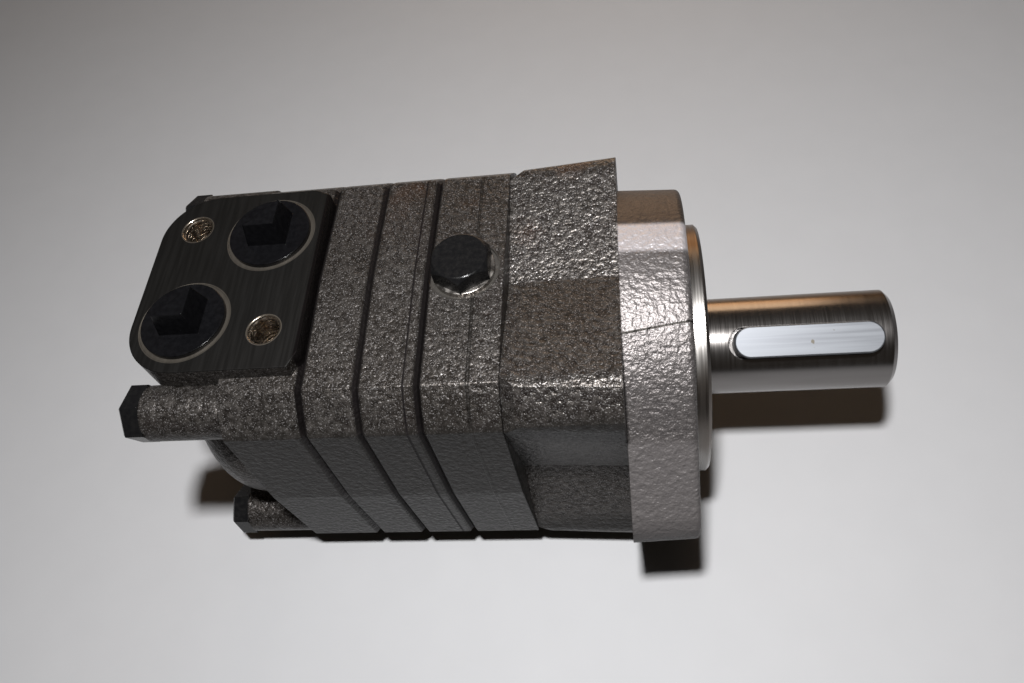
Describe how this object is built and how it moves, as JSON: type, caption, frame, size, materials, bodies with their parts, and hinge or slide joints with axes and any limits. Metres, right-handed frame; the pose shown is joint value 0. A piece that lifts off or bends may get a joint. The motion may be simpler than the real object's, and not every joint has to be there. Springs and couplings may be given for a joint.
{
  "type": "orbital hydraulic motor",
  "caption": "Orbital hydraulic motor with a two-hole mounting flange, keyed shaft, two plugged side ports and a case drain plug.",
  "frame": {"origin": "centre of the mounting face of the flange, on the shaft axis", "axes": "+X along the shaft towards its free end, +Z out of the port face"},
  "size_m": [0.2331, 0.134, 0.1187],
  "materials": {
    "cast_iron_body": "oiled casting",
    "machined_iron": "machined",
    "ground_steel": "ground",
    "black_steel": "black oxide",
    "bearing_steel": "polished",
    "black_plastic": "moulded",
    "seal_rubber": "matt",
    "washer_metal": "plain",
    "cage_brass": "plain"
  },
  "bodies": {
    "motor_body": {"front_housing": "cast_iron_body", "drain_housing": "cast_iron_body", "end_cover": "cast_iron_body", "wear_plate": "machined_iron", "gear_ring": "machined_iron", "channel_plate": "machined_iron", "seal_cover": "machined_iron", "balance_plate": "machined_iron", "through_bolts": "black_steel", "drain_plug": "black_steel", "cover_screws": "black_steel", "rear_retaining_ring": "black_steel", "front_bearing_outer": "bearing_steel", "rear_bearing_cup": "bearing_steel", "check_balls": "bearing_steel", "check_springs": "bearing_steel", "balance_spring": "bearing_steel", "balance_pins": "bearing_steel", "dowel_pins": "bearing_steel", "port_plug_a": "black_plastic", "port_plug_b": "black_plastic", "shaft_seal": "seal_rubber", "dust_seal": "seal_rubber", "cover_seal": "seal_rubber", "neck_seal": "seal_rubber", "section_seals": "seal_rubber", "balance_seal": "seal_rubber", "drain_washer": "washer_metal"},
    "shaft_body": {"output_shaft": "ground_steel", "shaft_key": "ground_steel", "front_bearing_inner": "bearing_steel", "shaft_snap_ring": "black_steel"},
    "ball_body": {"front_bearing_balls": "bearing_steel", "front_bearing_cage": "cage_brass"},
    "needle_body": {"rear_bearing_needles": "bearing_steel", "rear_bearing_cage": "cage_brass"},
    "orbit_body": {"spacer_disc": "ground_steel"},
    "rotor_body": {"rotor": "ground_steel"},
    "cardan_body": {"cardan_shaft": "ground_steel"},
    "drive_body": {"valve_drive": "ground_steel"},
    "valve_body": {"disc_valve": "machined_iron"},
    "roller_body_1": {"ring_roller_1": "bearing_steel"},
    "roller_body_2": {"ring_roller_2": "bearing_steel"},
    "roller_body_3": {"ring_roller_3": "bearing_steel"},
    "roller_body_4": {"ring_roller_4": "bearing_steel"},
    "roller_body_5": {"ring_roller_5": "bearing_steel"},
    "roller_body_6": {"ring_roller_6": "bearing_steel"},
    "roller_body_7": {"ring_roller_7": "bearing_steel"}
  },
  "joints": [
    {"name": "shaft_turn", "type": "hinge", "parent": "motor_body", "child": "shaft_body", "pos_m": [0.03, 0, 0], "axis": [1, 0, 0], "continuous": true},
    {"name": "ball_turn", "type": "hinge", "parent": "motor_body", "child": "ball_body", "pos_m": [-0.013, 0, 0], "axis": [1, 0, 0], "continuous": true},
    {"name": "needle_turn", "type": "hinge", "parent": "motor_body", "child": "needle_body", "pos_m": [-0.045, 0, 0], "axis": [1, 0, 0], "continuous": true},
    {"name": "orbit_turn", "type": "hinge", "parent": "motor_body", "child": "orbit_body", "pos_m": [-0.0885, 0, 0], "axis": [1, 0, 0], "continuous": true},
    {"name": "rotor_turn", "type": "hinge", "parent": "orbit_body", "child": "rotor_body", "pos_m": [-0.0885, 0.003, 0], "axis": [1, 0, 0], "continuous": true},
    {"name": "cardan_turn", "type": "hinge", "parent": "orbit_body", "child": "cardan_body", "pos_m": [-0.04, 0, 0], "axis": [0.9978, -0.0662, 0], "continuous": true},
    {"name": "drive_turn", "type": "hinge", "parent": "orbit_body", "child": "drive_body", "pos_m": [-0.124, 0, 0], "axis": [0.9954, 0.0963, 0], "continuous": true},
    {"name": "valve_turn", "type": "hinge", "parent": "motor_body", "child": "valve_body", "pos_m": [-0.12075, 0, 0], "axis": [1, 0, 0], "continuous": true},
    {"name": "roller_turn_1", "type": "hinge", "parent": "motor_body", "child": "roller_body_1", "pos_m": [-0.0885, 0.033, 0], "axis": [1, 0, 0], "continuous": true},
    {"name": "roller_turn_2", "type": "hinge", "parent": "motor_body", "child": "roller_body_2", "pos_m": [-0.0885, 0.02057, 0.0258], "axis": [1, 0, 0], "continuous": true},
    {"name": "roller_turn_3", "type": "hinge", "parent": "motor_body", "child": "roller_body_3", "pos_m": [-0.0885, -0.00734, 0.03217], "axis": [1, 0, 0], "continuous": true},
    {"name": "roller_turn_4", "type": "hinge", "parent": "motor_body", "child": "roller_body_4", "pos_m": [-0.0885, -0.02973, 0.01432], "axis": [1, 0, 0], "continuous": true},
    {"name": "roller_turn_5", "type": "hinge", "parent": "motor_body", "child": "roller_body_5", "pos_m": [-0.0885, -0.02973, -0.01432], "axis": [1, 0, 0], "continuous": true},
    {"name": "roller_turn_6", "type": "hinge", "parent": "motor_body", "child": "roller_body_6", "pos_m": [-0.0885, -0.00734, -0.03217], "axis": [1, 0, 0], "continuous": true},
    {"name": "roller_turn_7", "type": "hinge", "parent": "motor_body", "child": "roller_body_7", "pos_m": [-0.0885, 0.02057, -0.0258], "axis": [1, 0, 0], "continuous": true}
  ],
  "couplings": [
    {"joint": "ball_turn", "follows": "shaft_turn", "ratio": 0.4281},
    {"joint": "needle_turn", "follows": "shaft_turn", "ratio": 0.451},
    {"joint": "orbit_turn", "follows": "shaft_turn", "ratio": -6},
    {"joint": "rotor_turn", "follows": "shaft_turn", "ratio": 7},
    {"joint": "cardan_turn", "follows": "shaft_turn", "ratio": 7},
    {"joint": "drive_turn", "follows": "shaft_turn", "ratio": 7},
    {"joint": "valve_turn", "follows": "shaft_turn", "ratio": 1}
  ]
}
